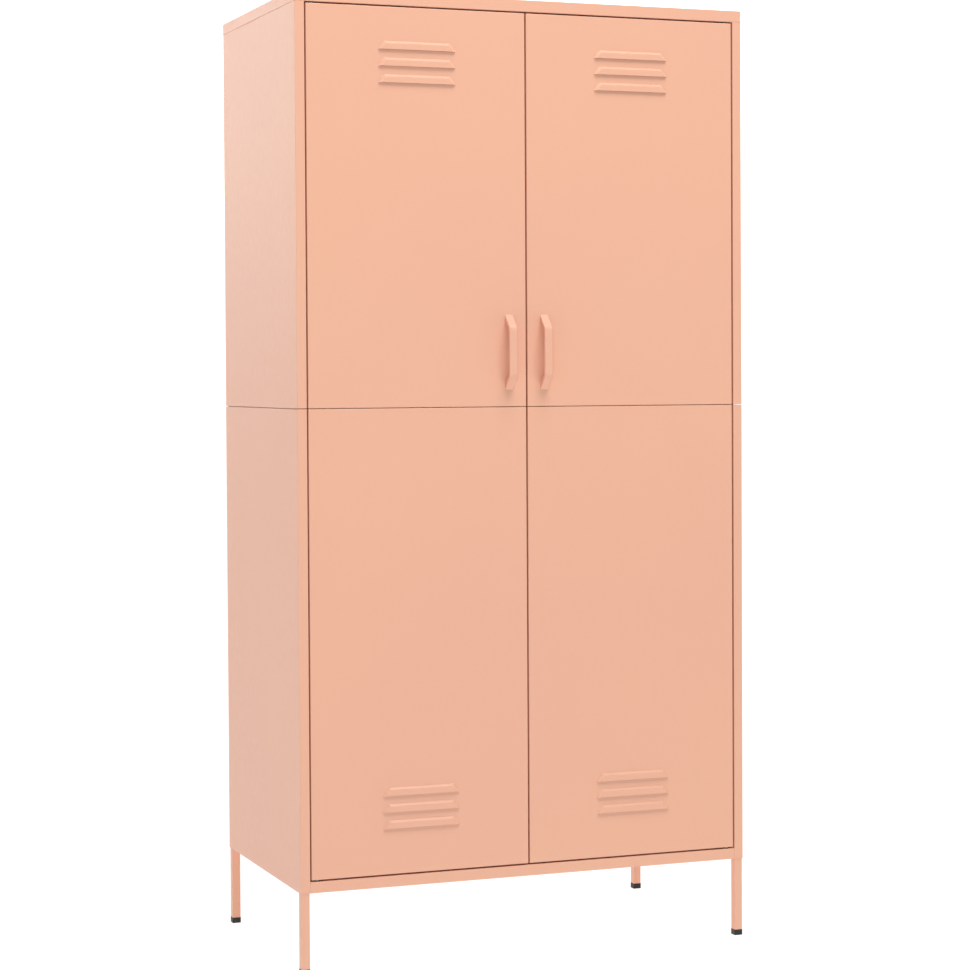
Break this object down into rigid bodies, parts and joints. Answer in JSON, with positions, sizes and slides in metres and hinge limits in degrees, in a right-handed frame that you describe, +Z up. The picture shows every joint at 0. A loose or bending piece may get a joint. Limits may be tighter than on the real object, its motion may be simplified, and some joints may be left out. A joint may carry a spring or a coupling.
{
  "type": "locker cabinet",
  "caption": "Free-standing sheet-steel wardrobe locker with louvred full-height doors, bow handles and square legs.",
  "frame": {"origin": "on the floor under the middle of the whole box, handles included", "axes": "+X to the right seen from the front, doors face -Y, +Z up"},
  "size_m": [0.9, 0.524, 1.8],
  "materials": {
    "powder_coat": "satin peach powder coat",
    "black_plastic": "moulded black plastic",
    "nylon": "natural nylon",
    "zinc_steel": "bright zinc plate",
    "magnet": "ground magnet pole",
    "chrome": "polished chrome plate",
    "rubber": "soft rubber"
  },
  "bodies": {
    "cabinet": {"back_lower": "powder_coat", "back_screws": "zinc_steel", "back_upper": "powder_coat", "base_panel": "powder_coat", "base_screws": "zinc_steel", "catch_bodies": "nylon", "catch_magnets": "magnet", "catch_screws": "zinc_steel", "cover_screws": "zinc_steel", "door_bumpers": "rubber", "front_left_foot_cap": "black_plastic", "front_left_leg": "powder_coat", "front_right_foot_cap": "black_plastic", "front_right_leg": "powder_coat", "left_hanging_rail": "chrome", "left_hat_shelf": "powder_coat", "left_side_lower": "powder_coat", "left_side_upper": "powder_coat", "leg_screws": "zinc_steel", "lower_bushes": "black_plastic", "partition_lower": "powder_coat", "partition_screws": "zinc_steel", "partition_upper": "powder_coat", "rail_sockets": "chrome", "rear_left_foot_cap": "black_plastic", "rear_left_leg": "powder_coat", "rear_right_foot_cap": "black_plastic", "rear_right_leg": "powder_coat", "right_hanging_rail": "chrome", "right_hat_shelf": "powder_coat", "right_side_lower": "powder_coat", "right_side_upper": "powder_coat", "seam_bolts": "zinc_steel", "seam_nuts": "zinc_steel", "shelf_clips": "zinc_steel", "top_cover": "powder_coat", "upper_bushes": "black_plastic"},
    "left_door": {"left_door_lower": "powder_coat", "left_door_splice": "zinc_steel", "left_door_upper": "powder_coat", "left_handle": "powder_coat", "left_handle_screws": "zinc_steel", "left_lower_pin": "zinc_steel", "left_lower_stiffener": "powder_coat", "left_splice_screws": "zinc_steel", "left_strike_plate": "zinc_steel", "left_upper_pin": "zinc_steel", "left_upper_stiffener": "powder_coat"},
    "right_door": {"right_door_lower": "powder_coat", "right_door_splice": "zinc_steel", "right_door_upper": "powder_coat", "right_handle": "powder_coat", "right_handle_screws": "zinc_steel", "right_lower_pin": "zinc_steel", "right_lower_stiffener": "powder_coat", "right_splice_screws": "zinc_steel", "right_strike_plate": "zinc_steel", "right_upper_pin": "zinc_steel", "right_upper_stiffener": "powder_coat"}
  },
  "joints": [
    {"name": "left_door_hinge", "type": "hinge", "parent": "cabinet", "child": "left_door", "pos_m": [-0.417, -0.231, 0.1745], "axis": [0, 0, -1], "range_deg": [0, 110]},
    {"name": "right_door_hinge", "type": "hinge", "parent": "cabinet", "child": "right_door", "pos_m": [0.417, -0.231, 0.1745], "axis": [0, 0, 1], "range_deg": [0, 110]}
  ]
}
